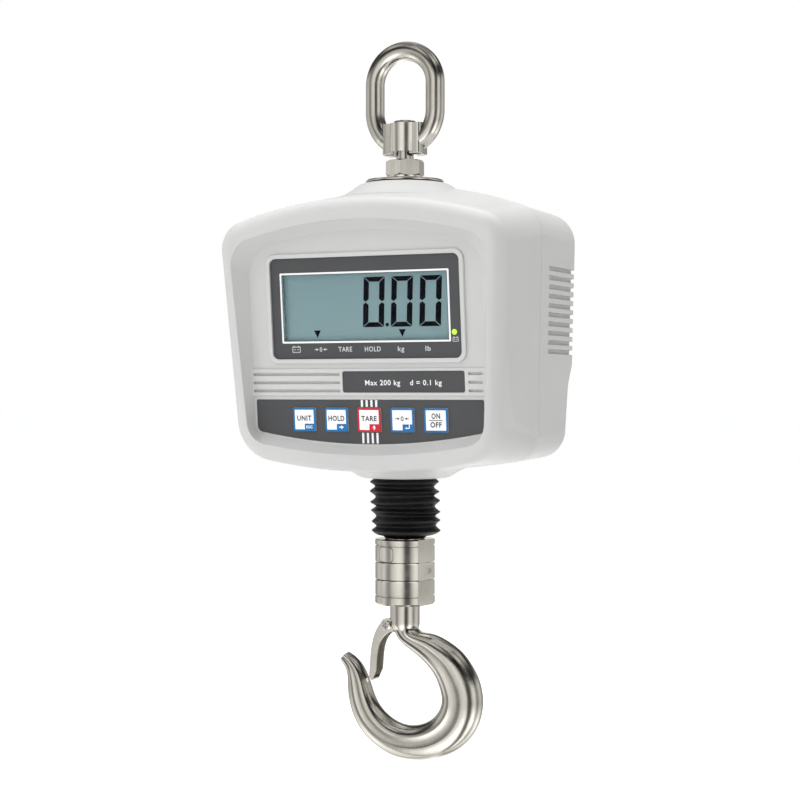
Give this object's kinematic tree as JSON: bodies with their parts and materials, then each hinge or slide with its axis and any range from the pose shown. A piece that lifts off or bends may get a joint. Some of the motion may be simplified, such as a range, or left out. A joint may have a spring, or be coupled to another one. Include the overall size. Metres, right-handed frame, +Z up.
{
  "type": "crane scale",
  "caption": "Hanging crane scale: swivel suspension ring, plastic housing with digital display and keys, rubber bellows, and a swivel hook with a sprung safety latch.",
  "frame": {"origin": "inner crown of the suspension ring, where the scale hangs from, on the swivel axis", "axes": "+Z up along the load line, -Y is the display side, the hook opens towards -X"},
  "size_m": [0.19, 0.1381, 0.4528],
  "materials": {
    "polished_steel": "polished stainless steel, faint machining lines",
    "zinc_steel": "machined steel",
    "housing_plastic": "fine moulded texture, warm light grey",
    "overlay_film": "dark grey printed film, satin",
    "clear_window": "clear acrylic",
    "lcd": "grey-green liquid crystal glass",
    "key_plastic": "white key with printed border",
    "black_rubber": "matt black moulded rubber",
    "board": "green circuit board",
    "dark_plastic": "black moulded plastic",
    "white_plastic": "white diffuser plastic",
    "led_lens": "green indicator lens",
    "aluminium": "machined aluminium",
    "bronze": "bearing bronze",
    "cable_grey": "grey cable jacket",
    "battery_wrap": "printed sleeve, plain green",
    "spring_steel": "drawn spring wire"
  },
  "bodies": {
    "suspension": {"suspension_ring": "polished_steel", "swivel_washer": "bronze"},
    "housing": {"swivel_stud": "polished_steel", "retaining_cap": "polished_steel", "lock_nut": "polished_steel", "lock_washer": "polished_steel", "cover_plate": "polished_steel", "top_seal": "black_rubber", "spacer_tube": "aluminium", "load_cell": "aluminium", "cell_cable": "cable_grey", "load_rod": "zinc_steel", "rod_nut": "zinc_steel", "front_shell": "housing_plastic", "rear_shell": "housing_plastic", "shell_gasket": "black_rubber", "shell_screws": "zinc_steel", "battery_door": "housing_plastic", "door_screws": "zinc_steel", "battery_cells": "battery_wrap", "charge_socket": "dark_plastic", "socket_nut": "zinc_steel", "display_overlay": "overlay_film", "display_window": "clear_window", "lcd_glass": "lcd", "lcd_backlight": "white_plastic", "display_board": "board", "status_led": "led_lens", "capacity_plate": "overlay_film", "keypad_overlay": "overlay_film", "keypad_board": "board", "key_switches": "dark_plastic", "board_spacers": "aluminium", "main_board": "board", "board_parts": "dark_plastic", "buzzer": "dark_plastic", "ribbon_cable": "cable_grey", "bellows": "black_rubber", "coupling_sleeve": "polished_steel", "keeper_plate": "polished_steel", "cross_pin": "zinc_steel", "lock_ring": "polished_steel", "set_screw": "zinc_steel", "bearing_cup": "polished_steel", "bearing_lower_race": "zinc_steel", "bearing_balls": "zinc_steel"},
    "hook_assembly": {"hook": "polished_steel", "hook_nut": "zinc_steel", "split_pin": "zinc_steel", "bearing_upper_race": "zinc_steel", "latch_screw": "polished_steel", "latch_nut": "zinc_steel", "latch_spring": "spring_steel"},
    "latch": {"safety_latch": "polished_steel"},
    "key_unit_body": {"key_unit": "key_plastic"},
    "key_hold_body": {"key_hold": "key_plastic"},
    "key_tare_body": {"key_tare": "key_plastic"},
    "key_zero_body": {"key_zero": "key_plastic"},
    "key_power_body": {"key_power": "key_plastic"}
  },
  "joints": [
    {"name": "ring_swivel", "type": "hinge", "parent": "suspension", "child": "housing", "pos_m": [0, 0, -0.049], "axis": [0, 0, 1], "continuous": true},
    {"name": "hook_swivel", "type": "hinge", "parent": "housing", "child": "hook_assembly", "pos_m": [0, 0, -0.334], "axis": [0, 0, 1], "continuous": true},
    {"name": "latch_hinge", "type": "hinge", "parent": "hook_assembly", "child": "latch", "pos_m": [-0.0102, 0, -0.3562], "axis": [0, -1, 0], "range_deg": [0, 35], "stiffness_Nm_per_rad": 0.05, "springref_deg": -28.65, "deforming": ["latch_spring"]},
    {"name": "key_unit_press", "type": "slide", "parent": "housing", "child": "key_unit_body", "axis": [0, 0.9959, 0.0906], "range_m": [0, 0.0004], "stiffness_N_per_m": 2500, "springref_m": -0.0002},
    {"name": "key_hold_press", "type": "slide", "parent": "housing", "child": "key_hold_body", "axis": [0, 0.9959, 0.0906], "range_m": [0, 0.0004], "stiffness_N_per_m": 2500, "springref_m": -0.0002},
    {"name": "key_tare_press", "type": "slide", "parent": "housing", "child": "key_tare_body", "axis": [0, 0.9959, 0.0906], "range_m": [0, 0.0004], "stiffness_N_per_m": 2500, "springref_m": -0.0002},
    {"name": "key_zero_press", "type": "slide", "parent": "housing", "child": "key_zero_body", "axis": [0, 0.9959, 0.0906], "range_m": [0, 0.0004], "stiffness_N_per_m": 2500, "springref_m": -0.0002},
    {"name": "key_power_press", "type": "slide", "parent": "housing", "child": "key_power_body", "axis": [0, 0.9959, 0.0906], "range_m": [0, 0.0004], "stiffness_N_per_m": 2500, "springref_m": -0.0002}
  ]
}
